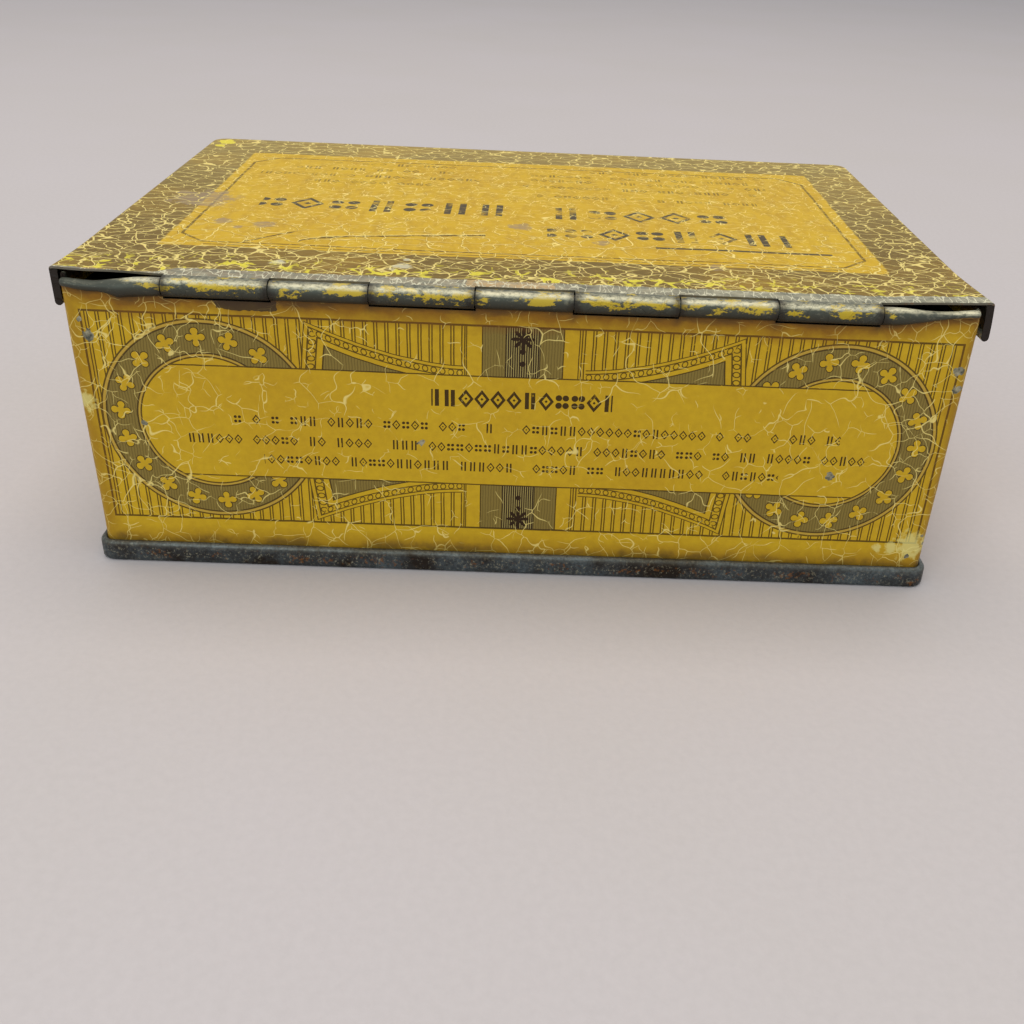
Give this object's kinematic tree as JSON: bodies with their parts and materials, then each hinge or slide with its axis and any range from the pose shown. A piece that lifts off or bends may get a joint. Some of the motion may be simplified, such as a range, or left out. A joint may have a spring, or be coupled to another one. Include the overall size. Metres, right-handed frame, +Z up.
{
  "type": "hinged tin box",
  "caption": "Rectangular printed tinplate box with a one-piece skirted lid on a rolled wire hinge along one long side, and a seamed-on bottom with a standing rim.",
  "frame": {"origin": "bottom centre of the bounding box, on the surface the box stands on", "axes": "+X along the long side and the hinge axis, +Y from the hinge side to the opening side, +Z up"},
  "size_m": [0.127, 0.0888, 0.0444],
  "materials": {
    "printed_tin": "aged varnished print, crazed and rubbed",
    "bare_tin": "oxidised bare tinplate with rust spots",
    "steel_wire": "dull drawn wire"
  },
  "bodies": {
    "body": {"body_shell": "printed_tin", "bottom_pan": "bare_tin", "hinge_wire": "steel_wire"},
    "lid": {"lid": "printed_tin"}
  },
  "joints": [
    {"name": "lid_hinge", "type": "hinge", "parent": "body", "child": "lid", "pos_m": [0, -0.04307, 0.04307], "axis": [1, 0, 0], "range_deg": [0, 200]}
  ]
}
